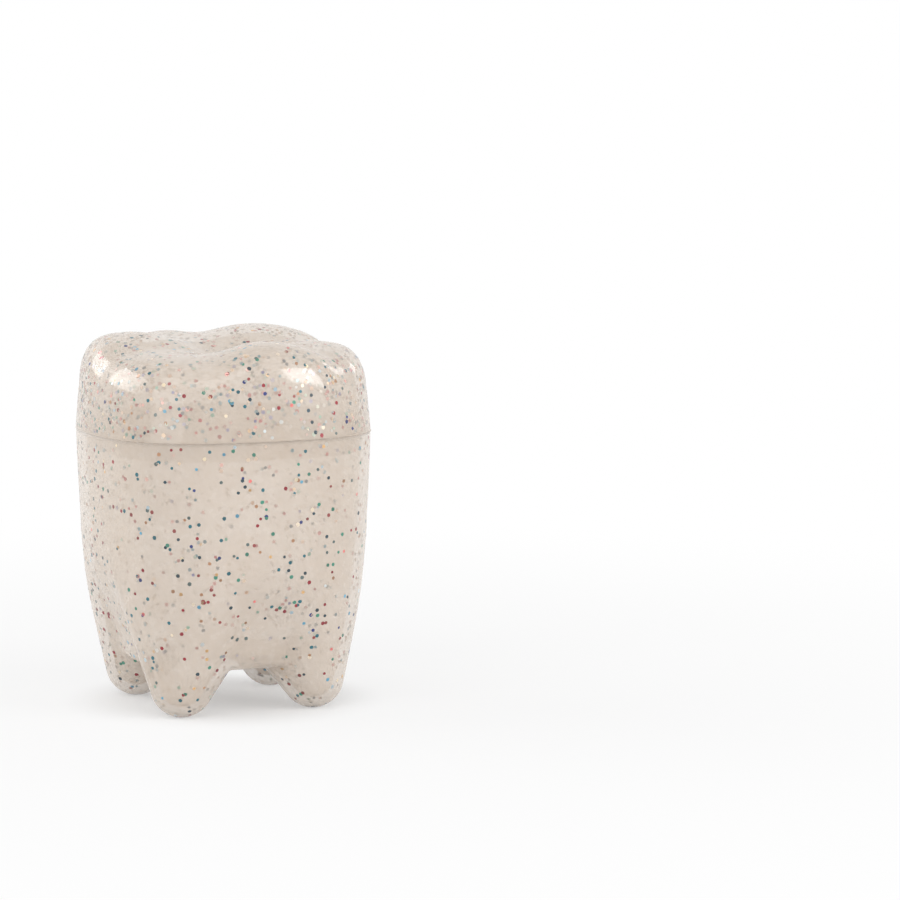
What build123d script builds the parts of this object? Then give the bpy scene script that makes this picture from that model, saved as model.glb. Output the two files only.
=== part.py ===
from build123d import *
import os
from math import acos, cos, degrees, hypot, radians, sin, sqrt

# A keepsake box in the shape of a molar: a hollow cup with four hollow roots,
# a cap with six cusps, the cap's plug lip, and one living-hinge strap at the back.
# The front faces -Y, the strap is on the +Y side, and the root tips stand on Z = 0.

# Cup sizes
cup_height = 27.4 * MM
cup_half_width = 13.75 * MM
cup_base_half_width = 11.95 * MM
cup_corner_radius = 10.1 * MM
cup_base_corner_radius = 11.0 * MM
wall = 1.0 * MM

# Web between the roots: where it starts to draw in from the outer wall, its roof, and how
# far down from the start to the roof each of its sections is
web_start_height = 16.25 * MM
web_roof_height = 5.0 * MM
web_recess = 2.65 * MM
web_edge_radius = 1.2 * MM
web_clear = 0.9 * MM
web_corner_share = 0.85
web_shares = (1.0, 0.7, 0.4)

# Roots: a round cone from a small tip ball to a large ball inside the cup
tip_ball_radius = 3.1 * MM
tip_ring_radius = 9.7 * MM
tip_flat_depth = 0.15 * MM
shoulder_ball_radius = 9.05 * MM
shoulder_ring_radius = 6.05 * MM
shoulder_height = 16.2 * MM

# Cap sizes, and the rise of its edge above the seam
cap_proud = 0.1 * MM
cap_rise = 8.2 * MM
cap_edge_radius = 3.0 * MM
pit_depth = 1.4 * MM
pit_radius = 6.2 * MM

# Cusps: half of an egg's width along the rim, of its depth across it and of its height, how
# far it is inside the wall, and the rise of each cusp above the seam
cusp_half_width = 6.4 * MM
cusp_half_depth = 5.4 * MM
cusp_half_height = 4.0 * MM
cusp_inset = 0.75 * MM
cusp_rises = {
    "left": 9.7 * MM,
    "front_left": 8.4 * MM,
    "front": 9.3 * MM,
    "front_right": 8.8 * MM,
    "back_right": 9.9 * MM,
    "back": 9.3 * MM,
}

# Plug lip under the cap, which goes into the cup's mouth
lip_wall = 0.8 * MM
lip_depth = 1.95 * MM
lip_seat_height = 1.2 * MM
lip_clearance = 0.15 * MM
lip_lead_in = 0.3 * MM

# Living-hinge strap
strap_width = 4.0 * MM
strap_thickness = 0.35 * MM
strap_reach = 1.6 * MM
strap_leaf_height = 0.775 * MM

overrun = 2.0 * MM
quarter_turn = 90

# Direction of each corner from the tooth's axis, in degrees from +X towards +Y
corner_angles = {
    "front_left": 225,
    "front_right": 315,
    "back_right": 45,
    "back_left": 135,
}

# Direction of each cusp, counted in the same way
cusp_angles = {
    "left": 157,
    "front_left": 217,
    "front": 277,
    "front_right": 337,
    "back_right": 47,
    "back": 104,
}

# The origin is the middle of the whole outline, strap included, so the tooth stands a
# little forward of it.
forward = (strap_reach - cap_proud) / 2
tooth_axis = Location((0, -forward, 0))

# Height shares of the sections that the cup's outer wall runs through
section_shares = (1.0, 0.62, 0.3, 0.0)


def cup_half_width_at(height):
    """Half width of the cup's outer wall, which draws in towards the roots."""
    drop_share = (cup_height - height) / cup_height
    return cup_half_width - (cup_half_width - cup_base_half_width) * drop_share**2


def cup_corner_radius_at(height):
    drop_share = (cup_height - height) / cup_height
    return cup_corner_radius + (cup_base_corner_radius - cup_corner_radius) * drop_share


def rounded_square(half_width, corner_radius, height):
    return Plane.XY.offset(height) * RectangleRounded(2 * half_width, 2 * half_width, corner_radius)


def outline_reach(half_width, corner_radius, angle):
    """How far a rounded square reaches from its middle in a direction."""
    flat = half_width - corner_radius
    return flat * (abs(cos(radians(angle))) + abs(sin(radians(angle)))) + corner_radius


def cup_envelope(inset):
    """The cup's outer wall, drawn in by the inset and run on past the rim where it is inset."""
    sections = []
    for share in section_shares:
        height = cup_height * share
        half_width = cup_half_width_at(height) - inset
        corner_radius = min(cup_corner_radius_at(height), cup_half_width_at(height)) - inset
        sections.append(rounded_square(half_width, corner_radius, height))
    body = loft(sections)
    if inset:
        top = rounded_square(cup_half_width - inset, cup_corner_radius - inset, cup_height)
        body += extrude(top, overrun)
    return body


def web_section(height, half_width, inset):
    corner_radius = min(cup_corner_radius_at(height), half_width * web_corner_share)
    return rounded_square(half_width - inset, corner_radius - inset, height)


def web_core(inset):
    """The middle of the cup, whose sides are the webs that draw in between the roots."""
    sections = []
    for share in web_shares:
        height = web_start_height + (web_roof_height + inset - web_start_height) * share
        recess = web_recess * sin(share * radians(quarter_turn)) ** 2
        sections.append(web_section(height, cup_half_width_at(height) - recess, inset))
    clear_height = web_start_height + overrun
    clear_half_width = cup_half_width_at(clear_height) + web_clear
    sections.append(web_section(clear_height, clear_half_width, inset))
    core = loft(sections)
    edge_radius = max(web_edge_radius - inset, web_edge_radius / 2)
    core = fillet(core.faces().sort_by(Axis.Z)[0].edges(), edge_radius)
    return core + extrude(sections[-1], cup_height + overrun - clear_height)


def root_cone(angle, inset):
    """A solid of revolution: tip ball, straight flank tangent to both balls, shoulder ball."""
    tip_height = tip_ball_radius - tip_flat_depth
    lean = shoulder_ring_radius - tip_ring_radius
    rise = shoulder_height - tip_height
    length = hypot(lean, rise)
    small = tip_ball_radius - inset
    large = shoulder_ball_radius - inset
    flank = (large - small) / length
    side = sqrt(1 - flank**2)
    with BuildSketch(Plane.XZ) as profile:
        with BuildLine():
            pole = (0, -small)
            low_middle = (small * sin(acos(flank) / 2), -small * cos(acos(flank) / 2))
            low = (small * side, -small * flank)
            high = (large * side, length - large * flank)
            crown_turn = radians(quarter_turn) / 2
            high_middle = (large * cos(crown_turn / 2), length + large * sin(crown_turn / 2))
            crown = (large * cos(crown_turn), length + large * sin(crown_turn))
            ThreePointArc(pole, low_middle, low)
            Line(low, high)
            ThreePointArc(high, high_middle, crown)
            Line(crown, (0, length + large * sin(crown_turn)))
            Line((0, length + large * sin(crown_turn)), pole)
        make_face()
    cone = revolve(profile.sketch, Axis.Z)
    tilt = degrees(acos(rise / length))
    outwards = Location((tip_ring_radius, 0, tip_height)) * Rot(0, -tilt, 0)
    return Rot(0, 0, angle) * outwards * cone


def cup_solid(inset):
    """The whole cup as a filled form, drawn in by the inset."""
    form = web_core(inset)
    for angle in corner_angles.values():
        form += root_cone(angle, inset)
    return form & cup_envelope(inset)


def make_tooth_body():
    body = cup_solid(0) - cup_solid(wall)
    ground = extrude(rounded_square(2 * cup_half_width, cup_corner_radius, 0), cup_height)
    return body & ground


def cap_solid(inset):
    """The cap as a filled form: a block with a rounded edge, a pit, and an egg for each cusp."""
    half_width = cup_half_width + cap_proud
    base = rounded_square(half_width - inset, cup_corner_radius - inset, cup_height)
    block = extrude(base, cap_rise - inset)
    block = fillet(block.faces().sort_by(Axis.Z)[-1].edges(), cap_edge_radius - inset / 2)
    pit_ball = (pit_radius**2 + pit_depth**2) / (2 * pit_depth)
    pit_centre = cup_height + cap_rise - pit_depth + pit_ball
    block -= Pos(0, 0, pit_centre) * Sphere(pit_ball + inset)
    above_seam = extrude(base, cusp_half_height + max(cusp_rises.values()))
    egg_sizes = (cusp_half_depth - inset, cusp_half_width - inset, cusp_half_height - inset)
    egg = scale(Sphere(1 * MM), egg_sizes)
    for name, angle in cusp_angles.items():
        reach = outline_reach(half_width, cup_corner_radius, angle)
        ring = reach - cusp_half_depth - cusp_inset
        centre = Location((ring, 0, cup_height + cusp_rises[name] - cusp_half_height))
        block += (Rot(0, 0, angle) * centre * egg) & above_seam
    return block


def cap_hollow():
    """The space inside the cap, down to the seam."""
    return cap_solid(wall)


def make_lid_cap():
    return cap_solid(0) - cap_hollow()


def make_plug_lip():
    """A ring seated inside the cap's wall, whose lower stretch goes into the cup's mouth."""
    seat_band = rounded_square(cup_half_width + cap_proud, cup_corner_radius, cup_height)
    seat = cap_hollow() & extrude(seat_band, lip_seat_height)
    outside = wall + lip_clearance
    plug_face = rounded_square(cup_half_width - outside, cup_corner_radius - outside, cup_height)
    plug = extrude(plug_face, -lip_depth)
    plug = chamfer(plug.faces().sort_by(Axis.Z)[0].edges(), lip_lead_in)
    inside = outside + lip_wall
    bore_face = rounded_square(
        cup_half_width - inside, cup_corner_radius - inside, cup_height - lip_depth - overrun
    )
    bore = extrude(bore_face, lip_depth + lip_seat_height + 2 * overrun)
    return (seat + plug) - bore


def strap_leaf(start, side):
    """Half of the folded strap: a leaf that leaves the wall, and a quarter turn to the fold."""
    turn = cup_half_width + strap_reach - strap_leaf_height
    outer = strap_leaf_height
    inner = strap_leaf_height - strap_thickness
    middle = sin(radians(quarter_turn) / 2)
    with BuildSketch(Plane.YZ) as outline:
        with BuildLine():
            Line((start, side * outer), (turn, side * outer))
            outer_middle = (turn + outer * middle, side * outer * middle)
            ThreePointArc((turn, side * outer), outer_middle, (turn + outer, 0))
            Line((turn + outer, 0), (turn + inner, 0))
            inner_middle = (turn + inner * middle, side * inner * middle)
            ThreePointArc((turn + inner, 0), inner_middle, (turn, side * inner))
            Line((turn, side * inner), (start, side * inner))
            Line((start, side * inner), (start, side * outer))
        make_face()
    leaf = extrude(outline.sketch, strap_width / 2, both=True)
    return Pos(0, 0, cup_height) * leaf


parts = {
    "tooth_body": make_tooth_body(),
    "lid_cap": make_lid_cap(),
    "lid_plug_lip": make_plug_lip(),
    "strap_cup_leaf": strap_leaf(cup_half_width, -1),
    "strap_cap_leaf": strap_leaf(cup_half_width + cap_proud, 1),
}

os.makedirs("parts", exist_ok=True)
for node, shape in parts.items():
    export_step(tooth_axis * shape, f"parts/{node}.step")

print("hinge axis along X at y, z:", cup_half_width + strap_reach - forward, cup_height)
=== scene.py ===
"""A keepsake box for baby teeth: a molar of milky plastic full of glitter, with a hinged lid.

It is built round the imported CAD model, in its frame and in metres. The cup, the lid with its
plug lip and the strap are surfaces worked out from formulas, and the glitter is a few thousand
small foil hexagons that lie inside their walls.
"""

import logging
import math
from dataclasses import KW_ONLY, dataclass
from enum import Enum
from typing import Callable, ClassVar, Sequence

import bpy
import numpy as np
from mathutils import Matrix, Vector


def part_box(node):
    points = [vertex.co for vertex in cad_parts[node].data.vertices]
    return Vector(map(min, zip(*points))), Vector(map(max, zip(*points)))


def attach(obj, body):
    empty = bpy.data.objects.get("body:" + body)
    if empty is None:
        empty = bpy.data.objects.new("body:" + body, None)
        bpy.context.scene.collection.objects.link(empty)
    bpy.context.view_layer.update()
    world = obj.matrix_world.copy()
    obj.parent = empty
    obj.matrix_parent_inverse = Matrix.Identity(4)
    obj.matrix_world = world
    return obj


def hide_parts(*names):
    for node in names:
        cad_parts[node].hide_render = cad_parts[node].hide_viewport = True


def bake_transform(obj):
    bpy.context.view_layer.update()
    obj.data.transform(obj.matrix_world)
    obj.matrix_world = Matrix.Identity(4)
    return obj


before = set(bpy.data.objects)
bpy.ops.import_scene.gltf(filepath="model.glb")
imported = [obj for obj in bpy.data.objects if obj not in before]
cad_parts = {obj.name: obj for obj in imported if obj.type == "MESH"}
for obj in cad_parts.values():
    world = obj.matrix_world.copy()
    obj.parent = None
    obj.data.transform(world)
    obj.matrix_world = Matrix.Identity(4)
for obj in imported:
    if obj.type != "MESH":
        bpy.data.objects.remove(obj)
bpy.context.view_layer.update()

MM = 0.001
PHOTO_WIDTH = 900
HALVINGS = 24
WHITE = (1.0, 1.0, 1.0, 1.0)

log = logging.getLogger("tooth_box")

Numbers = np.ndarray | float
Field = Callable[[np.ndarray], np.ndarray]
Rgba = tuple[float, float, float, float]


class Corner(Enum):
    """The four corners of the tooth, as the angle from +X towards +Y, in radians."""

    FRONT_LEFT = math.radians(225)
    FRONT_RIGHT = math.radians(315)
    BACK_RIGHT = math.radians(45)
    BACK_LEFT = math.radians(135)


# Curves and fields


def superellipse(angle: np.ndarray, power: Numbers) -> np.ndarray:
    """Radius of a rounded square of half width 1: (|cos|^n + |sin|^n)^(-1/n).

    Args:
        angle: direction from the middle, in radians.
        power: 2 gives a circle, and more gives a squarer outline.

    Returns:
        The radius in each direction.
    """
    return (np.abs(np.cos(angle)) ** power + np.abs(np.sin(angle)) ** power) ** (-1.0 / power)


def polar(angle: Numbers, radius: Numbers, height: Numbers) -> np.ndarray:
    """Places about an upright axis: radius * cos, radius * sin, height.

    Args:
        angle: direction from +X towards +Y, in radians.
        radius: distance from the axis.
        height: height above the ground.

    Returns:
        The places, with x, y, z last.
    """
    x = radius * np.cos(angle)
    y = radius * np.sin(angle)
    return np.stack([x, y, np.broadcast_to(height, x.shape)], axis=-1)


def ease(share: np.ndarray) -> np.ndarray:
    """Rises smoothly from 0 to 1 as the share does: 3t^2 - 2t^3."""
    held = np.clip(share, 0.0, 1.0)
    return held * held * (3.0 - 2.0 * held)


def soft_min(first: np.ndarray, second: np.ndarray, reach: float) -> np.ndarray:
    """The lesser of two fields, rounded where they are within reach of each other.

    Args:
        first: one field's values.
        second: the other field's values.
        reach: how near the two values are where the rounding starts.

    Returns:
        The joined field: a mix of the two, less reach * h * (1 - h), where h is the mix's share.
    """
    share = np.clip(0.5 + 0.5 * (second - first) / reach, 0.0, 1.0)
    return second * (1.0 - share) + first * share - reach * share * (1.0 - share)


def soft_max(first: np.ndarray, second: np.ndarray, reach: float) -> np.ndarray:
    """The greater of two fields, rounded as soft_min rounds the lesser."""
    return -soft_min(-first, -second, reach)


def tapered_rod(
    points: np.ndarray, foot: np.ndarray, head: np.ndarray, foot_radius: float, head_radius: float
) -> np.ndarray:
    """Signed distance to the hull of two balls, by the flank's slope between them.

    A point's place along the rod, leant by the flank's slope, says whether the foot ball, the
    flank or the head ball is nearest to it.

    Args:
        points: places, with x, y, z last.
        foot: centre of the ball at one end.
        head: centre of the ball at the other end.
        foot_radius: radius of the foot's ball.
        head_radius: radius of the head's ball.

    Returns:
        The distance of each point, negative inside.
    """
    axis = head - foot
    length = float(np.linalg.norm(axis))
    axis = axis / length
    lean = (head_radius - foot_radius) / length
    upright = math.sqrt(1.0 - lean * lean)
    offset = points - foot
    along = offset @ axis
    aside = np.sqrt(np.maximum((offset**2).sum(-1) - along**2, 0.0))
    place = np.clip((along + aside * lean / upright) / length, 0.0, 1.0)
    centre = foot + axis * (place * length)[..., None]
    radius = foot_radius + place * (head_radius - foot_radius)
    return np.linalg.norm(points - centre, axis=-1) - radius


def cast(field: Field, starts: np.ndarray, ways: np.ndarray, reach: float) -> np.ndarray:
    """Where rays that start inside a field leave it, by halving the stretch that holds the exit.

    Args:
        field: gives a negative value inside and a positive one outside.
        starts: a place inside for each ray.
        ways: the unit direction of each ray.
        reach: a length that is surely outside.

    Returns:
        The place at which each ray crosses the field's zero.
    """
    near = np.zeros(ways.shape[:-1])
    far = np.full(ways.shape[:-1], reach)
    for _ in range(HALVINGS):
        middle = 0.5 * (near + far)
        inside = field(starts + ways * middle[..., None]) < 0.0
        near = np.where(inside, middle, near)
        far = np.where(inside, far, middle)
    return starts + ways * (0.5 * (near + far))[..., None]


def rounded_edge(
    outer: np.ndarray, inner: np.ndarray, radius: float, up: float, steps: int
) -> np.ndarray:
    """Rings over a wall's end: a quarter circle off the outer face, and one onto the inner face.

    Args:
        outer: the outer face's last ring, columns x 3.
        inner: the inner face's first ring, columns x 3.
        radius: radius of both edges.
        up: 1 for an end that faces up, and -1 for one that faces down.
        steps: rings to each edge.

    Returns:
        The rings in order from the outer face to the inner face.
    """
    across = inner - outer
    across = across / np.linalg.norm(across, axis=-1, keepdims=True)
    rise = np.array([0.0, 0.0, up])
    turns = np.linspace(0.0, math.pi / 2.0, steps)[:, None, None]
    first = outer + radius * ((1.0 - np.cos(turns)) * across + (np.sin(turns) - 1.0) * rise)
    last = inner - radius * ((1.0 - np.sin(turns)) * across + (1.0 - np.cos(turns)) * rise)
    return np.concatenate([first, last])


# Meshes


def make_object(
    name: str, vertices: np.ndarray, loops: np.ndarray, sizes: np.ndarray, smooth: bool = True
) -> bpy.types.Object:
    """Puts polygons into a new mesh object.

    Args:
        name: the object's name.
        vertices: places, count x 3.
        loops: the polygons' vertex numbers, one polygon after the other.
        sizes: how many vertices each polygon has.
        smooth: whether the shading runs smoothly over the edges.

    Returns:
        The object, linked to the scene.
    """
    mesh = bpy.data.meshes.new(name)
    mesh.vertices.add(len(vertices))
    mesh.vertices.foreach_set("co", vertices.astype(np.float32).ravel())
    mesh.loops.add(len(loops))
    mesh.loops.foreach_set("vertex_index", loops.astype(np.int32))
    mesh.polygons.add(len(sizes))
    starts = np.concatenate([[0], np.cumsum(sizes)[:-1]])
    mesh.polygons.foreach_set("loop_start", starts.astype(np.int32))
    mesh.polygons.foreach_set("use_smooth", np.full(len(sizes), smooth))
    mesh.update(calc_edges=True)
    mesh.validate()
    piece = bpy.data.objects.new(name, mesh)
    bpy.context.scene.collection.objects.link(piece)
    return piece


def grid_loops(rows: int, columns: int, closed_rows: bool) -> np.ndarray:
    """Vertex numbers of a grid's quads, closed round its columns.

    Args:
        rows: rings in the grid.
        columns: places in each ring.
        closed_rows: whether the last ring joins the first.

    Returns:
        Quads x 4, all wound the same way.
    """
    last = rows if closed_rows else rows - 1
    row = np.arange(last)[:, None]
    column = np.arange(columns)[None, :]
    beside = (column + 1) % columns
    above = (row + 1) % rows
    start = row * columns
    end = above * columns
    corners = np.broadcast_arrays(start + column, start + beside, end + beside, end + column)
    return np.stack(corners, axis=-1).reshape(-1, 4)


def face_outwards(piece: bpy.types.Object) -> None:
    """Turns a closed mesh's faces outwards, by its volume's sign: the sum of a . (b x c).

    Args:
        piece: the mesh's object.
    """
    mesh = piece.data
    mesh.calc_loop_triangles()
    corners = np.empty(len(mesh.loop_triangles) * 3, dtype=np.int32)
    mesh.loop_triangles.foreach_get("vertices", corners)
    places = np.empty(len(mesh.vertices) * 3)
    mesh.vertices.foreach_get("co", places)
    a, b, c = places.reshape(-1, 3)[corners.reshape(-1, 3)].transpose(1, 0, 2)
    if float((np.cross(b, c) * a).sum()) < 0.0:
        mesh.flip_normals()


def shell(
    name: str, rings: np.ndarray, poles: tuple[np.ndarray, np.ndarray] | None
) -> bpy.types.Object:
    """A closed body from rings: capped at both ends by poles, or joined end to end.

    Args:
        name: the object's name.
        rings: rings x columns x 3, in order from one pole to the other or round the loop.
        poles: the place of the first and the last pole, or None for a closed loop of rings.

    Returns:
        The object.
    """
    rows, columns = rings.shape[:2]
    quads = grid_loops(rows, columns, poles is None)
    vertices = rings.reshape(-1, 3)
    loops = quads.ravel()
    sizes = np.full(len(quads), 4)
    if poles is not None:
        column = np.arange(columns)
        beside = (column + 1) % columns
        first = np.stack([np.full(columns, len(vertices)), beside, column], axis=-1)
        end = (rows - 1) * columns
        last = np.stack([np.full(columns, len(vertices) + 1), end + column, end + beside], axis=-1)
        vertices = np.concatenate([vertices, np.stack(poles)])
        loops = np.concatenate([loops, first.ravel(), last.ravel()])
        sizes = np.concatenate([sizes, np.full(2 * columns, 3)])
    piece = make_object(name, vertices, loops, sizes)
    face_outwards(piece)
    return piece


def rounded_profile(corners: np.ndarray, radius: float, steps: int) -> np.ndarray:
    """A closed outline whose corners are rounded by parabolas: (1-t)^2 a + 2t(1-t) corner + t^2 b.

    Args:
        corners: the outline's corners in order, count x 2.
        radius: how far from each corner its rounding starts.
        steps: points to each corner.

    Returns:
        The outline's points in order.
    """
    before = np.roll(corners, 1, axis=0) - corners
    after = np.roll(corners, -1, axis=0) - corners
    start = corners + radius * before / np.linalg.norm(before, axis=1, keepdims=True)
    end = corners + radius * after / np.linalg.norm(after, axis=1, keepdims=True)
    share = np.linspace(0.0, 1.0, steps)[None, :, None]
    arcs = (1.0 - share) ** 2 * start[:, None] + 2.0 * share * (1.0 - share) * corners[:, None]
    return (arcs + share**2 * end[:, None]).reshape(-1, 2)


# The plastic parts


@dataclass
class Moulding:
    """A thin wall about the tooth's upright axis, open at its mouth and closed at its pole.

    Its faces are found by rays that start on the axis, down or up to the hub's height. Each kind
    of moulding has its own name, outline and field, and its mouth faces up (1) or down (-1).
    """

    NAME: ClassVar[str]
    UP: ClassVar[float]

    axis_y: float
    mouth: float
    half_width: float
    hub: float
    _: KW_ONLY
    outer_rows: tuple[int, int]
    inner_rows: tuple[int, int]
    wall: float = 1.0 * MM
    edge_radius: float = 0.02 * MM
    edge_rings: int = 5
    columns: int = 256
    reach: float = 30.0 * MM

    @property
    def axis(self) -> np.ndarray:
        """The upright axis, where it meets the ground."""
        return np.array([0.0, self.axis_y, 0.0])

    @property
    def angles(self) -> np.ndarray:
        """The direction of each column of places, in radians."""
        return np.linspace(0.0, 2.0 * math.pi, self.columns, endpoint=False)

    def outline(self, angle: np.ndarray, height: Numbers) -> np.ndarray:
        """Outer radius of the wall, in each direction and at each height."""
        raise NotImplementedError

    def field(self, points: np.ndarray, inset: float) -> np.ndarray:
        """Negative inside the outer face as drawn in by the inset, and zero on it."""
        raise NotImplementedError

    def mouth_rings(self, inset: Numbers, height: Numbers) -> np.ndarray:
        """The mouth's outline, drawn in by the insets and carried to the heights."""
        radius = self.outline(self.angles, self.mouth) - inset
        return polar(self.angles, radius, height) + self.axis

    def face(self, gap: float, inset: float, rows: tuple[int, int]) -> np.ndarray:
        """The outer face, or one drawn in by the inset, from near the mouth to the pole.

        Level rays find it as far as the hub's height, and a fan from the hub finds the rest.

        Args:
            gap: how far from the mouth the first ring is.
            inset: how far in from the outer face, and so at least how far above the ground.
            rows: rings of level rays, and rings in the fan.

        Returns:
            Rings x columns x 3, whose last ring is all on the pole.
        """
        level_rows, fan_rows = rows
        height = np.linspace(self.mouth - self.UP * gap, self.hub, level_rows)
        height = np.concatenate([height, np.full(fan_rows, self.hub)])
        tilt = np.linspace(0.0, -self.UP * math.pi / 2.0, fan_rows + 1)[1:]
        tilt = np.concatenate([np.zeros(level_rows), tilt])[:, None]
        ways = polar(self.angles, np.cos(tilt), np.sin(tilt))
        starts = np.zeros_like(ways)
        starts[..., 2] = height[:, None]
        places = cast(lambda points: self.field(points, inset), starts, ways, self.reach)
        places[..., 2] = np.maximum(places[..., 2], inset)
        return places + self.axis

    def build(self) -> bpy.types.Object:
        """One closed wall: outer face, rounded edge at the mouth, inner face.

        Returns:
            The wall's object.
        """
        outer = self.face(self.edge_radius, 0.0, self.outer_rows)
        inner = self.face(self.edge_radius, self.wall, self.inner_rows)
        rims = (self.mouth_rings(inset, self.mouth) for inset in (0.0, self.wall))
        edge = rounded_edge(*rims, self.edge_radius, self.UP, self.edge_rings)
        rings = np.concatenate([outer[-2::-1], edge[1:-1], inner[:-1]])
        return shell(self.NAME, rings, (outer[-1].mean(axis=0), inner[-1].mean(axis=0)))


@dataclass
class ToothCup(Moulding):
    """The cup: a rounded-square barrel on four hollow roots, with webs drawn in between them."""

    NAME = "cup_shell"
    UP = 1.0

    _: KW_ONLY
    outer_rows: tuple[int, int] = (44, 116)
    inner_rows: tuple[int, int] = (40, 92)
    draw_in: float = 0.131
    rim_power: float = 2.85
    foot_power: float = 2.20
    web_start: float = 16.25 * MM
    web_roof: float = 4.6 * MM
    web_recess: float = 2.66 * MM
    web_edge: float = 1.0 * MM
    root_joint: float = 0.36 * MM
    wall_joint: float = 0.3 * MM
    foot_ring: float = 9.68 * MM
    foot_ball: float = 3.11 * MM
    foot_sunk: float = 0.06 * MM
    foot_turns: Sequence[tuple[Corner, float]] = (
        (Corner.FRONT_LEFT, -1.5),
        (Corner.FRONT_RIGHT, -1.5),
        (Corner.BACK_RIGHT, -5.0),
        (Corner.BACK_LEFT, 0.0),
    )
    shoulder_ring: float = 6.04 * MM
    shoulder_ball: float = 9.07 * MM
    shoulder_height: float = 16.18 * MM

    def outline(self, angle: np.ndarray, height: Numbers) -> np.ndarray:
        """Outer radius of the wall, a superellipse that draws in with the square of the drop.

        Args:
            angle: direction from the axis.
            height: height above the ground.

        Returns:
            half_width * (1 - draw_in * t^2) * superellipse, where t is the drop below the mouth as
            a share of the mouth's height.
        """
        drop = (self.mouth - height) / self.mouth
        power = self.rim_power + (self.foot_power - self.rim_power) * drop
        return self.half_width * (1.0 - self.draw_in * drop**2) * superellipse(angle, power)

    def field(self, points: np.ndarray, inset: float) -> np.ndarray:
        """The webbed trunk joined to four tapered roots, all kept within the outline.

        Args:
            points: places about the tooth's axis, with x, y, z last.
            inset: how far in from the outer face.

        Returns:
            About the distance to the surface, negative inside.
        """
        height = points[..., 2]
        angle = np.arctan2(points[..., 1], points[..., 0])
        side = np.hypot(points[..., 0], points[..., 1]) - self.outline(angle, height)
        share = (self.web_start - height) / (self.web_start - self.web_roof)
        recess = self.web_recess * ease(share)
        form = soft_max(side + recess, self.web_roof - height, self.web_edge)
        foot_height = self.foot_ball - self.foot_sunk
        for corner, turn in self.foot_turns:
            foot = polar(corner.value + math.radians(turn), self.foot_ring, foot_height)
            head = polar(corner.value, self.shoulder_ring, self.shoulder_height)
            root = tapered_rod(points, foot, head, self.foot_ball, self.shoulder_ball)
            form = soft_min(form, root, self.root_joint)
        return soft_max(form, side, self.wall_joint) + inset


@dataclass(frozen=True)
class Cusp:
    """One cusp of the lid: its bearing in degrees from +X towards +Y, its height and its bend."""

    bearing: float
    height: float
    side_bend: float = 12.5 * MM


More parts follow.
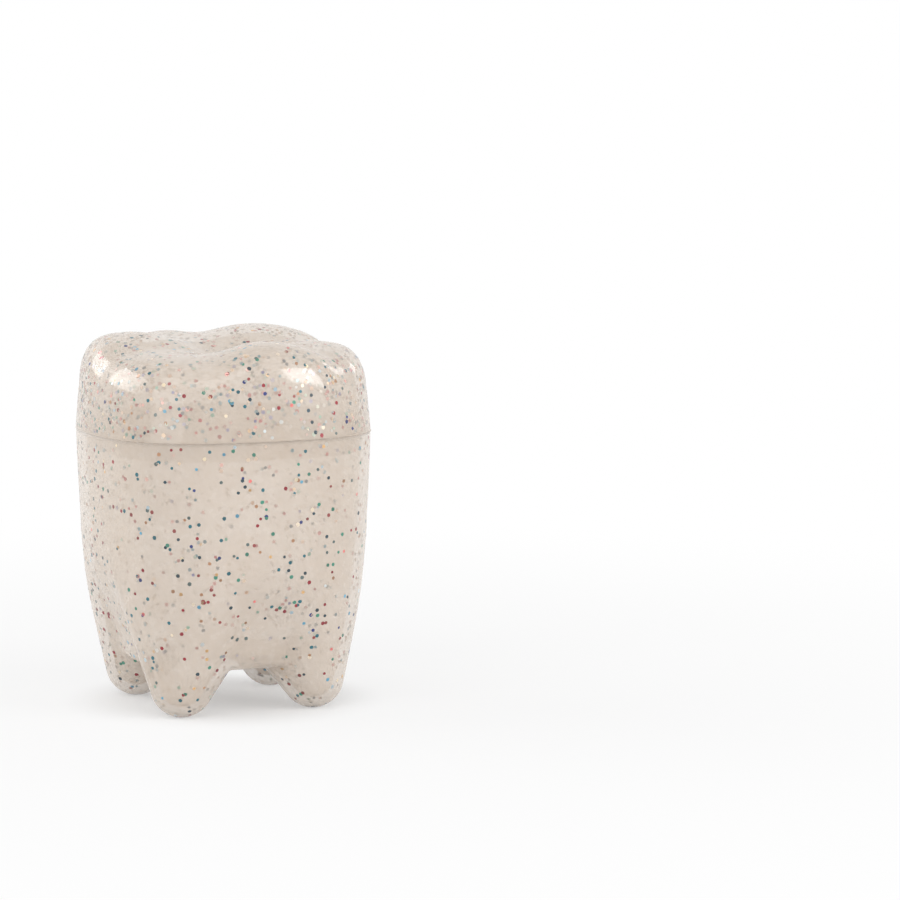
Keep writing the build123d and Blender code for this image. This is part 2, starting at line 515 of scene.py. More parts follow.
@dataclass
class CuspedLid(Moulding):
    """The lid: an upright wall that turns over a soft shoulder into six cusps round a pit."""

    NAME = "lid_shell"
    UP = -1.0

    cusps: Sequence[Cusp]
    fissures: Sequence[float]
    _: KW_ONLY
    outer_rows: tuple[int, int] = (10, 110)
    inner_rows: tuple[int, int] = (10, 84)
    reach: float = 25.0 * MM
    pit_height: float = 34.1 * MM
    cusp_ring: float = 8.86 * MM
    cusp_bend: float = 11.6 * MM
    cusp_joint: float = 1.6 * MM
    fissure_depth: float = 0.27 * MM
    fissure_width: float = 2.0 * MM
    fissure_start: float = 3.0 * MM
    fissure_run: float = 6.0 * MM
    fissure_foot: float = 2.0 * MM
    side_bend: float = 2.63 * MM
    top_bend: float = 3.25 * MM
    bend_power: float = 2.9
    draw_in: tuple[float, float] = (0.034, 0.005)
    seam_power: float = 2.70
    crown_power: float = 2.21
    power_rise: float = 11.0 * MM
    power_limit: float = 1.2
    thinning: float = 0.6

    def outline(self, angle: np.ndarray, height: Numbers) -> np.ndarray:
        """Outer radius of the wall: a superellipse that gets rounder and changes width upwards.

        Args:
            angle: direction from the axis.
            height: height above the ground.

        Returns:
            half_width * (1 - a t - b t^2) * superellipse, where t is the rise over the seam.
        """
        rise = (height - self.mouth) / self.power_rise
        share = np.clip(rise, 0.0, self.power_limit)
        power = self.seam_power + (self.crown_power - self.seam_power) * share
        width = self.half_width * (1.0 - self.draw_in[0] * rise - self.draw_in[1] * rise**2)
        return width * superellipse(angle, power)

    def along(self, x: np.ndarray, y: np.ndarray, bearing: float) -> tuple[np.ndarray, np.ndarray]:
        """Distances of places along a bearing from the axis, and across it."""
        angle = math.radians(bearing)
        return x * math.cos(angle) + y * math.sin(angle), y * math.cos(angle) - x * math.sin(angle)

    def top(self, x: np.ndarray, y: np.ndarray) -> np.ndarray:
        """Height of the top before its shoulder: the pit's floor and the domes, softly joined.

        Args:
            x: places across the tooth.
            y: places along it.

        Returns:
            The greatest of the pit's height and each dome's, whose top loses u^2 / 2R outwards and
            v^2 / 2S sideways, R and S being its bends.
        """
        height = np.full(x.shape, self.pit_height)
        for cusp in self.cusps:
            outwards, sideways = self.along(x, y, cusp.bearing)
            drop = (outwards - self.cusp_ring) ** 2 / (2.0 * self.cusp_bend)
            drop = drop + sideways**2 / (2.0 * cusp.side_bend)
            height = soft_max(height, cusp.height - drop, self.cusp_joint)
        return height

    def fissure(self, x: np.ndarray, y: np.ndarray) -> np.ndarray:
        """The fissures that run out between the cusps: exp(-(v / width)^2) across each.

        Args:
            x: places across the tooth.
            y: places along it.

        Returns:
            The fissures' depth there.
        """
        depth = np.zeros(x.shape)
        for bearing in self.fissures:
            outwards, sideways = self.along(x, y, bearing)
            share = ease((outwards - self.fissure_start) / self.fissure_run)
            depth = depth + np.exp(-((sideways / self.fissure_width) ** 2)) * share
        return depth * self.fissure_depth

    def field(self, points: np.ndarray, inset: float) -> np.ndarray:
        """Zero on the lid's face: the wall and the top meet in a superelliptic shoulder.

        Args:
            points: places about the tooth's axis, with x, y, z last.
            inset: how far in from the outer face.

        Returns:
            (max(1 + side / bend, 0)^m + max(1 + above / bend, 0)^m)^(1/m) - 1, with the fissures
            cut into the top and, from their foot upwards, into the side.
        """
        x, y, z = points[..., 0], points[..., 1], points[..., 2]
        cut = self.fissure(x, y)
        share = ease((z - self.mouth - self.fissure_foot) / self.fissure_run)
        side = np.hypot(x, y) - self.outline(np.arctan2(y, x), z) + inset + cut * share
        above = z - self.top(x, y) + inset + cut
        out = np.maximum(1.0 + side / (self.side_bend - self.thinning * inset), 0.0)
        up = np.maximum(1.0 + above / (self.top_bend - self.thinning * inset), 0.0)
        power = self.bend_power
        return (out**power + up**power) ** (1.0 / power) - 1.0


@dataclass
class PlugLip:
    """The ring under the lid that goes into the cup's mouth, with a lead-in at its lower edge."""

    cup: ToothCup
    foot: float
    head: float
    wall: float = 0.8 * MM
    clearance: float = 0.15 * MM
    seat_inset: float = 0.94 * MM
    seat_gap: float = 0.04 * MM
    lead_in: float = 0.3 * MM
    corner_radius: float = 0.06 * MM
    corner_steps: int = 4

    def build(self) -> bpy.types.Object:
        """The lip's profile, as inset and height, carried round the cup's outline at its mouth.

        Returns:
            The ring's object.
        """
        outside = self.cup.wall + self.clearance
        inside = outside + self.wall
        seat = self.cup.mouth + self.seat_gap
        corners = np.array(
            [
                [outside + self.lead_in, self.foot],
                [outside, self.foot + self.lead_in],
                [outside, seat],
                [self.seat_inset, seat],
                [self.seat_inset, self.head],
                [inside, self.head],
                [inside, self.foot],
            ]
        )
        profile = rounded_profile(corners, self.corner_radius, self.corner_steps)
        return shell("plug_lip", self.cup.mouth_rings(profile[:, :1], profile[:, 1:]), None)


@dataclass
class Strap:
    """The living hinge: a thin web folded in a U between the two rims at the back."""

    wall_y: float
    fold_y: float
    seam: float
    width: float = 4.0 * MM
    thickness: float = 0.35 * MM
    fold_radius: float = 0.6 * MM
    rooted: float = 0.25 * MM
    bend_reach: float = 0.5 * MM
    corner_radius: float = 0.1 * MM
    corner_steps: int = 5
    run_rings: int = 7
    turn_rings: int = 25

    def build(self) -> bpy.types.Object:
        """A rounded rectangle carried along the U: straight out, half a turn, straight back.

        Returns:
            The web's object, closed at both ends.
        """
        turn_y = self.fold_y - self.fold_radius - self.thickness / 2.0
        run = np.linspace(self.wall_y - self.rooted, turn_y, self.run_rings, endpoint=False)
        turn = np.linspace(0.0, math.pi, self.turn_rings)
        along = np.concatenate([run, turn_y + self.fold_radius * np.sin(turn), run[::-1]])
        drop = self.fold_radius * np.cos(turn)
        rise = np.concatenate([0.0 * run - self.fold_radius, -drop, 0.0 * run + self.fold_radius])
        heading = np.concatenate([0.0 * run, turn, 0.0 * run + math.pi])
        half = np.array([self.width / 2.0, self.thickness / 2.0])
        corners = np.array([[-1.0, -1.0], [1.0, -1.0], [1.0, 1.0], [-1.0, 1.0]]) * half
        section = rounded_profile(corners, self.corner_radius, self.corner_steps)
        offset = section[None, :, 1]
        y = along[:, None] + offset * np.sin(heading)[:, None]
        z = self.seam + rise[:, None] - offset * np.cos(heading)[:, None]
        x = np.broadcast_to(section[None, :, 0], y.shape)
        rings = np.stack([x, y, z], axis=-1)
        return shell("hinge_strap", rings, (rings[0].mean(axis=0), rings[-1].mean(axis=0)))


# The glitter


class Foil(Enum):
    """The colours of the glitter's foil, as sRGB, with how common each is."""

    CRIMSON = (0.53, 0.07, 0.14, 14)
    BRICK = (0.52, 0.22, 0.21, 9)
    CORAL = (0.82, 0.42, 0.40, 3)
    TEAL = (0.03, 0.36, 0.41, 19)
    DARK_TEAL = (0.04, 0.19, 0.24, 10)
    SLATE = (0.32, 0.38, 0.37, 6)
    GREEN = (0.20, 0.48, 0.40, 9)
    NAVY = (0.11, 0.18, 0.43, 6)
    SKY = (0.34, 0.58, 0.68, 5)
    TAN = (0.62, 0.46, 0.34, 8)
    GOLD = (0.76, 0.60, 0.40, 4)
    PALE = (0.86, 0.79, 0.67, 2)
    SILVER = (0.70, 0.77, 0.80, 1)

    @property
    def share(self) -> float:
        """How many of a hundred flakes have this colour."""
        return float(self.value[3])

    @property
    def linear(self) -> np.ndarray:
        """The colour as linear light: ((c + 0.055) / 1.055)^2.4."""
        return ((np.array(self.value[:3]) + 0.055) / 1.055) ** 2.4


class Bed(Enum):
    """How a flake lies in the wall: least and most depth as shares, tilt in degrees, veil."""

    SKIN = (0.0, 0.0, 2.0, 0.0)
    HAZED = (0.0, 0.0, 2.0, 0.48)
    DEEP = (0.06, 0.60, 8.0, 0.15)
    LINING = (1.0, 1.0, 2.0, 0.0)


@dataclass
class Glitter:
    """Small hexagonal foil flakes, strewn through a wall, and fewer where it lies level."""

    CORNERS: ClassVar[int] = 6

    name: str
    home: Moulding
    rows: tuple[int, int]
    beds: Sequence[tuple[Bed, float]]
    count: int
    seed: int
    level_share: float
    margin: float = 0.3 * MM
    radius: tuple[float, float] = (0.15 * MM, 0.22 * MM)
    corner_spread: tuple[float, float] = (0.92, 1.08)
    tint_spread: tuple[float, float] = (0.75, 1.25)
    veil_spread: tuple[float, float] = (0.6, 1.4)
    half_thickness: float = 0.012 * MM
    proud: float = 0.006 * MM
    milk: tuple[float, float, float] = (0.68, 0.58, 0.49)

    def strew(self, rng: np.random.Generator) -> tuple[np.ndarray, np.ndarray]:
        """Random places on the outer face, evenly by area but fewer where it lies level.

        Args:
            rng: the seeded source of chance.

        Returns:
            The places and the outward unit normals there.
        """
        face = self.home.face(self.margin, 0.0, self.rows)
        a = face[:-1]
        b = np.roll(a, -1, axis=1)
        d = face[1:]
        c = np.roll(d, -1, axis=1)
        normal = np.cross(c - a, d - b).reshape(-1, 3)
        area = np.linalg.norm(normal, axis=1)
        level = (normal[:, 2] / area) ** 2
        odds = area * (1.0 - (1.0 - self.level_share) * level)
        chosen = rng.choice(len(area), self.count, p=odds / odds.sum())
        u = rng.random((self.count, 1))
        v = rng.random((self.count, 1))
        a, b, c, d = (corner.reshape(-1, 3)[chosen] for corner in (a, b, c, d))
        place = (a * (1.0 - u) + b * u) * (1.0 - v) + (d * (1.0 - u) + c * u) * v
        normal = normal[chosen] / area[chosen][:, None]
        middle = self.home.axis + np.array([0.0, 0.0, self.home.hub])
        outwards = np.sign(((place - middle) * normal).sum(axis=1, keepdims=True))
        return place, normal * outwards

    def build(self) -> bpy.types.Object:
        """All flakes as one mesh: hexagonal prisms, tilted a little, each in one foil colour.

        Returns:
            The flakes' object.
        """
        rng = np.random.default_rng(self.seed)
        place, normal = self.strew(rng)
        shares = np.array([share for _, share in self.beds])
        beds = np.array([bed.value for bed, _ in self.beds])
        bed = beds[rng.choice(len(beds), self.count, p=shares / shares.sum())]
        shallow, deep, lean, veil = bed.T
        depth = shallow + (deep - shallow) * rng.random(self.count)
        buried = self.half_thickness - self.proud
        depth = buried + depth * (self.home.wall - 2.0 * buried)
        place = place - normal * depth[:, None]
        along = np.cross(normal, rng.normal(size=(self.count, 3)))
        along = along / np.linalg.norm(along, axis=1, keepdims=True)
        across = np.cross(normal, along)
        tilt = np.radians(lean * np.sqrt(rng.random(self.count)))[:, None]
        upright = normal * np.cos(tilt) + along * np.sin(tilt)
        along = along * np.cos(tilt) - normal * np.sin(tilt)
        ring = np.arange(self.CORNERS)
        turn = ring * math.pi / 3.0 + rng.random((self.count, 1)) * math.pi
        reach = self.radius[0] + (self.radius[1] - self.radius[0]) * rng.random((self.count, 1))
        reach = reach * rng.uniform(*self.corner_spread, (self.count, self.CORNERS))
        flat = along[:, None] * (reach * np.cos(turn))[..., None]
        flat = flat + across[:, None] * (reach * np.sin(turn))[..., None]
        low = place[:, None] + flat - upright[:, None] * self.half_thickness
        high = place[:, None] + flat + upright[:, None] * self.half_thickness
        vertices = np.concatenate([low, high], axis=1)
        below = np.minimum(vertices[..., 2].min(axis=1), 0.0)
        vertices[..., 2] -= below[:, None]
        beside = (ring + 1) % self.CORNERS
        sides = np.stack([ring, beside, beside + self.CORNERS, ring + self.CORNERS], axis=1)
        pattern = np.concatenate([ring[::-1], ring + self.CORNERS, sides.ravel()])
        loops = (np.arange(self.count)[:, None] * 2 * self.CORNERS + pattern).ravel()
        sizes = np.tile([self.CORNERS] * 2 + [4] * self.CORNERS, self.count)
        piece = make_object(self.name, vertices.reshape(-1, 3), loops, sizes, smooth=False)
        self.colour(piece, veil, rng)
        return piece

    def colour(self, piece: bpy.types.Object, veil: np.ndarray, rng: np.random.Generator) -> None:
        """Gives each flake a foil colour, paled towards the milky plastic by its veil.

        Args:
            piece: the flakes' object.
            veil: share of milk in each flake's colour.
            rng: the seeded source of chance.
        """
        foils = list(Foil)
        odds = np.array([foil.share for foil in foils])
        chosen = rng.choice(len(foils), self.count, p=odds / odds.sum())
        tint = np.stack([foil.linear for foil in foils])[chosen]
        tint = tint * rng.uniform(*self.tint_spread, (self.count, 1))
        share = (veil * rng.uniform(*self.veil_spread, self.count))[:, None]
        tint = np.clip(tint * (1.0 - share) + np.array(self.milk) * share, 0.0, 1.0)
        colours = np.ones((self.count, 2 * self.CORNERS, 4), dtype=np.float32)
        colours[..., :3] = tint[:, None]
        layer = piece.data.color_attributes.new(FoilFinish.LAYER, "FLOAT_COLOR", "POINT")
        layer.data.foreach_set("color", colours.ravel())


# Shader nodes


class Value:
    """A number's output socket, on which Python's sums add Math nodes."""

    def __init__(self, bench: "Bench", socket: bpy.types.NodeSocket) -> None:
        """Wraps one socket of the bench's tree."""
        self.bench = bench
        self.socket = socket

    def sum(self, operation: str, first: "Value | float", second: "Value | float") -> "Value":
        """Adds one Math node and gives its result."""
        node = self.bench.add("ShaderNodeMath", {"operation": operation}, {0: first, 1: second})
        return Value(self.bench, node.outputs[0])

    def __add__(self, other: "Value | float") -> "Value":
        """This value and another."""
        return self.sum("ADD", self, other)

    def __radd__(self, other: float) -> "Value":
        """A number and this value."""
        return self.sum("ADD", other, self)

    def __sub__(self, other: "Value | float") -> "Value":
        """This value less another."""
        return self.sum("SUBTRACT", self, other)

    def __rsub__(self, other: float) -> "Value":
        """A number less this value."""
        return self.sum("SUBTRACT", other, self)

    def __mul__(self, other: "Value | float") -> "Value":
        """This value times another."""
        return self.sum("MULTIPLY", self, other)

    def __rmul__(self, other: float) -> "Value":
        """A number times this value."""
        return self.sum("MULTIPLY", other, self)

    def most(self, other: "Value | float") -> "Value":
        """The greater of this value and another."""
        return self.sum("MAXIMUM", self, other)


class Bench:
    """A node tree, emptied, with one method that adds any node."""

    def __init__(self, tree: bpy.types.NodeTree) -> None:
        """Starts on an empty tree."""
        self.tree = tree
        tree.nodes.clear()

    def add(
        self, kind: str, settings: dict | None = None, sockets: dict | None = None
    ) -> bpy.types.Node:
        """Adds a node, sets it up, and then gives its sockets their values or links.

        Args:
            kind: Blender's name for the node type.
            settings: attributes of the node, such as a Math node's operation.
            sockets: a value, a Value or an output socket for each named or numbered input.

        Returns:
            The node.
        """
        node = self.tree.nodes.new(kind)
        for name, setting in (settings or {}).items():
            setattr(node, name, setting)
        for name, given in (sockets or {}).items():
            if isinstance(given, Value):
                self.tree.links.new(given.socket, node.inputs[name])
            elif isinstance(given, bpy.types.NodeSocket):
                self.tree.links.new(given, node.inputs[name])
            else:
                node.inputs[name].default_value = given
        return node

    def noise(self, place: bpy.types.NodeSocket, grain: float, detail: float) -> Value:
        """Smooth noise from 0 to 1, with blobs of about the grain's size in metres."""
        sockets = {"Vector": place, "Scale": 1.0 / grain, "Detail": detail}
        return Value(self, self.add("ShaderNodeTexNoise", None, sockets).outputs[0])

    def blend(self, share: Value, first: object, second: object) -> bpy.types.NodeSocket:
        """A colour between two.

        Args:
            share: 0 gives the first colour, and 1 gives the second.
            first: a colour or a colour's socket.
            second: the other colour.

        Returns:
            The mixed colour's socket.
        """
        settings = {"data_type": "RGBA", "clamp_factor": True}
        node = self.add("ShaderNodeMix", settings, {0: share, 6: first, 7: second})
        return node.outputs[2]

    def finish(self, shader: bpy.types.Node, output: str = "ShaderNodeOutputMaterial") -> None:
        """Joins the shader to the tree's output."""
        self.add(output, None, {"Surface": shader.outputs[0]})


def new_material(name: str) -> tuple[bpy.types.Material, Bench, bpy.types.NodeSocket]:
    """Starts a material on an empty node tree.

    Args:
        name: the material's name.

    Returns:
        The material, the bench for its nodes, and its Object coordinates.
    """
    material = bpy.data.materials.new(name)
    material.use_nodes = True
    bench = Bench(material.node_tree)
    return material, bench, bench.add("ShaderNodeTexCoord").outputs["Object"]


@dataclass(frozen=True)
class MilkyPlastic:
    """Translucent moulded plastic: each face lets part of what is behind it through."""

    name: str
    colour: Rgba = (0.69, 0.59, 0.495, 1.0)
    cloud: Rgba = (0.745, 0.66, 0.575, 1.0)
    opacity: float = 0.47
    roughness: float = 0.26
    ior: float = 1.5
    coat: float = 0.9
    edge_opacity: float = 0.86
    edge_coat_loss: float = 0.75
    coat_roughness: float = 0.07
    specular: float = 0.2
    cloud_grain: float = 5.0 * MM
    cloud_share: float = 0.65
    cloud_gloss: float = 0.08
    fleck_grain: float = 0.7 * MM
    fleck_share: float = 0.35
    fleck_gloss: float = 0.10
    patch_foot: float = 0.32
    patch_slope: float = 2.8
    flow_grain: float = 4.0 * MM
    flow_depth: float = 0.04 * MM
    skin_grain: float = 0.35 * MM
    skin_depth: float = 0.0002 * MM

    def material(self) -> bpy.types.Material:
        """Cloudy colour, uneven gloss and the faint ripple of a mould.

        Returns:
            The material, one Principled node that is more opaque and less glossy at a slant.
        """
        material, bench, place = new_material(self.name)
        cloud = bench.noise(place, self.cloud_grain, detail=3.0)
        fleck = bench.noise(place, self.fleck_grain, detail=1.0)
        share = self.cloud_share * cloud + self.fleck_share * fleck
        patch = (share - self.patch_foot) * self.patch_slope
        roughness = self.roughness + (fleck - 0.5) * self.fleck_gloss
        roughness = roughness + (cloud - 0.5) * self.cloud_gloss
        slant = bench.add("ShaderNodeLayerWeight", None, {"Blend": 0.5}).outputs["Facing"]
        slant = Value(bench, slant)
        grazing = slant * slant * slant
        opacity = grazing * (self.edge_opacity - self.opacity) + self.opacity
        coat = (1.0 - grazing * self.edge_coat_loss) * self.coat
        flow = bench.noise(place, self.flow_grain, detail=1.0) * self.flow_depth
        skin = bench.noise(place, self.skin_grain, detail=2.0) * self.skin_depth
        relief = {"Strength": 1.0, "Distance": 1.0, "Height": flow + skin}
        bump = bench.add("ShaderNodeBump", None, relief)
        sockets = {
            "Base Color": bench.blend(patch, self.colour, self.cloud),
            "Roughness": roughness,
            "Alpha": opacity,
            "IOR": self.ior,
            "Specular IOR Level": self.specular,
            "Coat Weight": coat,
            "Coat Roughness": self.coat_roughness,
            "Normal": bump.outputs[0],
        }
        bench.finish(bench.add("ShaderNodeBsdfPrincipled", None, sockets))
        return material


@dataclass(frozen=True)
class FoilFinish:
    """Coloured foil: part metal, its colour from each flake, slightly scuffed."""

    LAYER = "foil_colour"

    name: str = "glitter_foil"
    metallic: float = 0.15
    roughness: float = 0.34
    coat: float = 0.8
    coat_roughness: float = 0.07
    specular: float = 0.2
    scuff_grain: float = 0.15 * MM
    scuff_colour: Rgba = (0.45, 0.42, 0.40, 1.0)
    scuff_share: float = 0.15
    scuff_gloss: float = 0.2

    def material(self) -> bpy.types.Material:
        """The flakes' own colour, unevenly dulled, with uneven gloss.

        Returns:
            The material, one Principled node.
        """
        material, bench, place = new_material(self.name)
        scuff = bench.noise(place, self.scuff_grain, detail=2.0)
        foil = bench.add("ShaderNodeAttribute", {"attribute_name": self.LAYER}).outputs["Color"]
        sockets = {
            "Base Color": bench.blend(scuff * self.scuff_share, foil, self.scuff_colour),
            "Roughness": self.roughness + (scuff - 0.5) * self.scuff_gloss,
            "Metallic": self.metallic,
            "Specular IOR Level": self.specular,
            "Coat Weight": self.coat,
            "Coat Roughness": self.coat_roughness,
        }
        bench.finish(bench.add("ShaderNodeBsdfPrincipled", None, sockets))
        return material


# Studio and camera


@dataclass(frozen=True)
class Softbox:
    """A flat lamp: its bearing from the front towards the right, its rise, size and radiance."""

    name: str
    azimuth: float
    elevation: float
    size: tuple[float, float]
    radiance: float
    distance: float = 0.5
    gloss_only: bool = False

    def build(self, target: Vector) -> None:
        """Hangs the lamp so that it faces the target. Its power is pi * radiance * area.

        Args:
            target: the place that it faces, from which its distance counts.
        """
        bearing = math.radians(self.azimuth)
        rise = math.radians(self.elevation)
        level = math.cos(rise)
        way = Vector((math.sin(bearing) * level, -math.cos(bearing) * level, math.sin(rise)))
        data = bpy.data.lights.new(self.name, "AREA")
        data.shape = "RECTANGLE"
        data.size, data.size_y = self.size
        data.energy = math.pi * self.radiance * self.size[0] * self.size[1]
        lamp = bpy.data.objects.new(self.name, data)
        lamp.location = target + way * self.distance
        lamp.rotation_euler = (-way).to_track_quat("-Z", "Y").to_euler()
        lamp.visible_diffuse = not self.gloss_only
        lamp.visible_camera = False
        bpy.context.scene.collection.objects.link(lamp)


@dataclass
class Studio:
    """A white table in even light, with soft lamps round it."""

    target: Vector
    lamps: Sequence[Softbox]
    sky: float = 0.63
    floor_colour: Rgba = (0.74, 0.74, 0.74, 1.0)
    # Less floor glow towards the object, and less again under it, paints shade round and under it.
    floor_glow: float = 0.75
    glow_fade: tuple[float, float] = (20.0 * MM, 140.0 * MM)
    painted_shade_glow: float = 0.5
    painted_shade_reach: tuple[float, float] = (9.0 * MM, 17.0 * MM)
    floor_half_width: float = 1.5
    clear_layers: int = 24

    def shown(self, bench: Bench) -> Value:
        """Tells the rays that show a thing from those that it lights others by.

        Args:
            bench: the tree that asks.

        Returns:
            1 for rays from the camera, a gloss or a clear part, and 0 for all others.
        """
        path = bench.add("ShaderNodeLightPath")
        camera, glossy, clear = (
            Value(bench, path.outputs[name])
            for name in ("Is Camera Ray", "Is Glossy Ray", "Is Transmission Ray")
        )
        return camera.most(glossy).most(clear)

    def build_world(self) -> None:
        """A sky that is white where it is seen and dimmer where it lights."""
        world = bpy.data.worlds.new("studio_sky")
        world.use_nodes = True
        bench = Bench(world.node_tree)
        strength = self.shown(bench) * (1.0 - self.sky) + self.sky
        sky = bench.add("ShaderNodeBackground", None, {"Color": WHITE, "Strength": strength})
        bench.finish(sky, "ShaderNodeOutputWorld")
        bpy.context.scene.world = world

    def build_floor(self) -> bpy.types.Object:
        """A white floor that glows where it is seen, less so near the object: painted shade there.

        Returns:
            The floor's object.
        """
        square = np.array([[-1.0, -1.0, 0.0], [1.0, -1.0, 0.0], [1.0, 1.0, 0.0], [-1.0, 1.0, 0.0]])
        corners = square * self.floor_half_width
        floor = make_object("floor", corners, np.arange(4), np.array([4]), smooth=False)
        material, bench, place = new_material("white_table")
        matt = bench.add("ShaderNodeBsdfDiffuse", None, {"Color": self.floor_colour})
        glow = bench.add("ShaderNodeEmission", None, {"Color": WHITE, "Strength": 1.0})
        reach = bench.add("ShaderNodeVectorMath", {"operation": "LENGTH"}, {0: place})
        share = self.shown(bench)
        # Painted shade: the glow is turned down towards the object and more under it, which
        # darkens the floor there whatever the light; the matt part adds the real shadow.
        fades = (self.glow_fade, self.floor_glow), (self.painted_shade_reach, self.painted_shade_glow)
        for (near, far), least in fades:
            limits = {
                "Value": reach.outputs["Value"],
                "From Min": near,
                "From Max": far,
                "To Min": least,
                "To Max": 1.0,
            }
            fade = bench.add("ShaderNodeMapRange", {"interpolation_type": "SMOOTHSTEP"}, limits)
            share = share * Value(bench, fade.outputs["Result"])
        shaders = {0: share, 1: matt.outputs[0], 2: glow.outputs[0]}
        bench.finish(bench.add("ShaderNodeMixShader", None, shaders))
        floor.data.materials.append(material)
        return floor

    def build(self) -> None:
        """Sets up sky, floor and lamps, and how deep see-through layers are followed."""
        self.build_world()
        self.build_floor()
        for lamp in self.lamps:
            lamp.build(self.target)
        scene = bpy.context.scene
        scene.view_settings.view_transform = "Standard"
        scene.cycles.transparent_max_bounces = self.clear_layers


@dataclass
class PhotoCamera:
    """The photograph's camera, placed so that one point of the axis falls on its own pixel."""

    axis_y: float
    azimuth: float = -21.08
    distance: float = 349.0 * MM
    height: float = 64.3 * MM
    lens: float = 140.8
    sensor: float = 36.0
    aim_height: float = 19.0 * MM
    aim_pixel_x: float = 223.2
    aim_pixel_y: float = 511.8
    clip: tuple[float, float] = (0.01, 10.0)

    def build(self) -> None:
        """Turns the camera level until the aimed point is at its pixel.

        With x and y the pixel's place as tangents, the pitch p solves sin p + y cos p = s, where
        s is the point's upward share of the ray times sqrt(1 + x^2 + y^2). The heading is the
        ray's own, less the angle whose tangent is -x / (cos p - y sin p).
        """
        turn = math.radians(self.azimuth)
        spot = Vector((math.sin(turn), -math.cos(turn), 0.0)) * self.distance
        spot += Vector((0.0, self.axis_y, self.height))
        ray = Vector((0.0, self.axis_y, self.aim_height)) - spot
        half = PHOTO_WIDTH / 2
        half_tangent = self.sensor / 2.0 / self.lens
        x = (self.aim_pixel_x - half) / half * half_tangent
        y = (half - self.aim_pixel_y) / half * half_tangent
        upward = ray.normalized().z * math.sqrt(1.0 + x * x + y * y)
        pitch = math.asin(upward / math.sqrt(1.0 + y * y)) - math.atan(y)
        level = math.cos(pitch) - y * math.sin(pitch)
        heading = math.atan2(ray.y, ray.x) - math.atan2(-x, level)
        ahead = Vector(polar(heading, math.cos(pitch), math.sin(pitch)))
        right = ahead.cross(Vector((0.0, 0.0, 1.0))).normalized()
        up = right.cross(ahead)
        data = bpy.data.cameras.new("photo_camera")
        data.sensor_width = self.sensor
        data.lens = self.lens
        data.clip_start, data.clip_end = self.clip
        camera = bpy.data.objects.new("photo_camera", data)
        facing = Matrix((right, up, -ahead)).transposed().to_4x4()
        camera.matrix_world = Matrix.Translation(spot) @ facing
        bpy.context.scene.collection.objects.link(camera)
        bpy.context.scene.camera = camera


# Putting it together


def install(
    piece: bpy.types.Object,
    material: bpy.types.Material,
    body: str | None,
    nodes: Sequence[str],
    slot: str,
) -> None:
    """Dresses a piece, lets it ride on its body, hides the CAD nodes that it stands for, and logs
    it.

    Args:
        piece: the finished piece.
        material: its finish.
        body: the CAD body that carries it, or None for a piece that rides on neither.
        nodes: the CAD nodes that it stands for.
        slot: the record's material slot.
    """
    piece.data.materials.append(material)
    if body is not None:
        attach(piece, body)
    if nodes:
        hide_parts(*nodes)
    log.info("%s: %d faces, slot %s", piece.name, len(piece.data.polygons), slot)


def build_plastic(cup: ToothCup, lid: CuspedLid) -> None:
    """Builds the cup, the lid, the lip under the lid, and the strap folded between them.

    Args:
        cup: the cup's sizes.
        lid: the lid's sizes.
    """
    cup_finish = MilkyPlastic("cup_milk").material()
    lid_finish = MilkyPlastic("lid_milk", roughness=0.24).material()
    web_plastic = MilkyPlastic(
        "strap_milk",
        colour=(0.80, 0.70, 0.63, 1.0),
        cloud=(0.84, 0.76, 0.70, 1.0),
        opacity=0.45,
        roughness=0.25,
        coat=0.3,
    )
    lip_low, lip_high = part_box("lid_plug_lip")
    lip = PlugLip(cup, lip_low.z, lip_high.z)
    strap = Strap(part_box("tooth_body")[1].y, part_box("strap_cup_leaf")[1].y, cup.mouth)
    install(cup.build(), cup_finish, "cup", ["tooth_body"], "cup_plastic")
    install(lid.build(), lid_finish, "lid", ["lid_cap"], "lid_plastic")
    install(lip.build(), lid_finish, "lid", ["lid_plug_lip"], "lid_plastic")
    web = strap.build()
    leaves = ["strap_cup_leaf", "strap_cap_leaf"]
    install(web, web_plastic.material(), None, leaves, "strap_plastic")
    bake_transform(web)


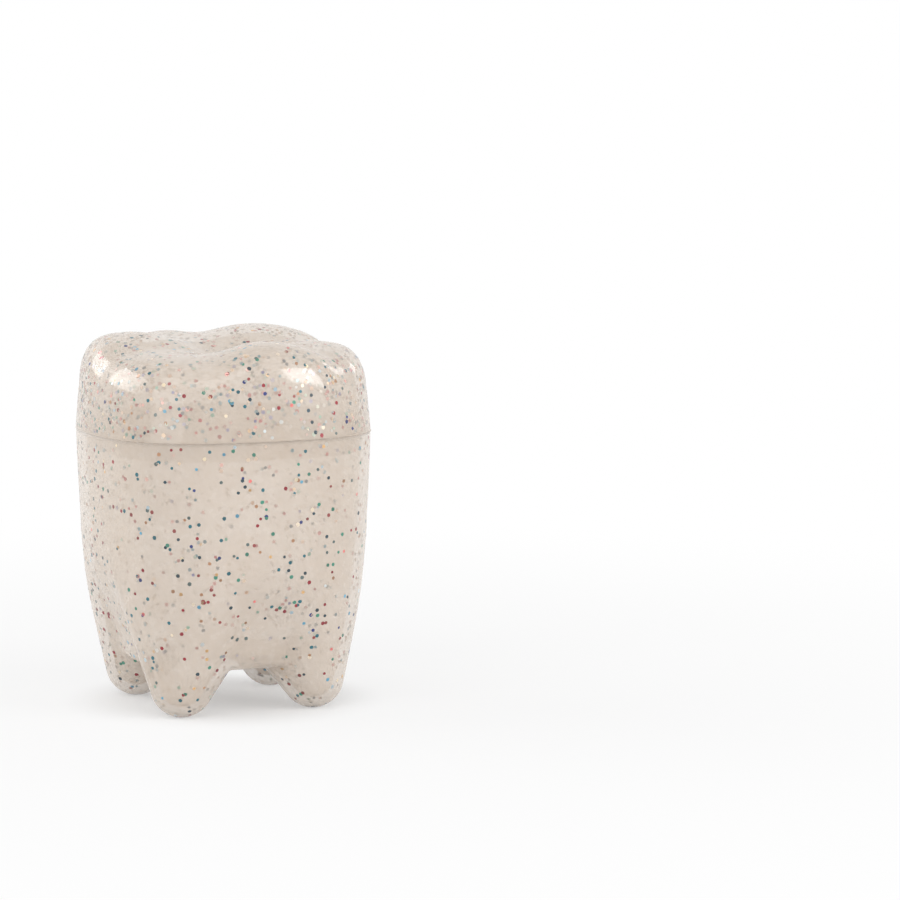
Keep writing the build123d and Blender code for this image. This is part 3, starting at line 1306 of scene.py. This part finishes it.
def strew_glitter(cup: ToothCup, lid: CuspedLid) -> None:
    """Strews the flakes through both walls, with more of them hazed over in the lid.

    Args:
        cup: the cup that the first lot lies in.
        lid: the lid that the second lot lies in.
    """
    foil = FoilFinish().material()
    cup_beds = ((Bed.SKIN, 0.50), (Bed.HAZED, 0.38), (Bed.DEEP, 0.10), (Bed.LINING, 0.02))
    lid_beds = ((Bed.SKIN, 0.18), (Bed.HAZED, 0.66), (Bed.DEEP, 0.14), (Bed.LINING, 0.02))
    in_cup = Glitter("cup_glitter", cup, (60, 100), cup_beds, 1750, seed=11, level_share=0.8)
    in_lid = Glitter("lid_glitter", lid, (10, 90), lid_beds, 2250, seed=23, level_share=0.4)
    install(in_cup.build(), foil, "cup", [], "glitter")
    install(in_lid.build(), foil, "lid", [], "glitter")


def main() -> None:
    """Builds the tooth box, its glitter, the studio and the camera."""
    logging.basicConfig(level=logging.INFO, format="%(message)s")
    cup_low, cup_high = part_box("tooth_body")
    lid_low, lid_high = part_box("lid_cap")
    axis_y = (cup_low.y + cup_high.y) / 2.0
    hairline = 0.01 * MM
    seam = lid_low.z + hairline
    cup = ToothCup(axis_y, cup_high.z, (cup_high.x - cup_low.x) / 2.0, hub=12.0 * MM)
    lid = CuspedLid(
        axis_y,
        seam,
        (lid_high.x - lid_low.x) / 2.0 - hairline,
        hub=seam + 2.0 * MM,
        cusps=(
            Cusp(157.0, 37.02 * MM),
            Cusp(217.0, 35.39 * MM),
            Cusp(277.0, 36.62 * MM),
            Cusp(337.0, 36.08 * MM),
            Cusp(47.1, 37.19 * MM, 15.3 * MM),
            Cusp(103.9, 36.65 * MM, 12.9 * MM),
        ),
        fissures=(187.0, 247.0, 307.0, 7.0, 84.5, 127.0),
    )
    build_plastic(cup, lid)
    strew_glitter(cup, lid)

    lamps = (
        Softbox("left_softbox", -126.0, 26.0, (0.42, 0.28), 2.3),
        Softbox("left_window", -126.0, 26.0, (0.38, 0.26), 2.8, distance=0.49, gloss_only=True),
        Softbox("right_softbox", 42.0, 18.0, (0.26, 0.22), 6.8),
        Softbox("right_window", 42.0, 18.0, (0.24, 0.20), 4.6, distance=0.49, gloss_only=True),
        Softbox("side_window", 110.0, 26.0, (0.10, 0.10), 4.0, gloss_only=True),
        Softbox("front_top_softbox", -40.0, 50.0, (0.48, 0.18), 2.2),
        Softbox("front_softbox", -60.0, 10.0, (0.36, 0.30), 2.2),
    )
    Studio(Vector((0.0, axis_y, 20.0 * MM)), lamps).build()
    PhotoCamera(axis_y).build()


if __name__ == "__main__":
    main()
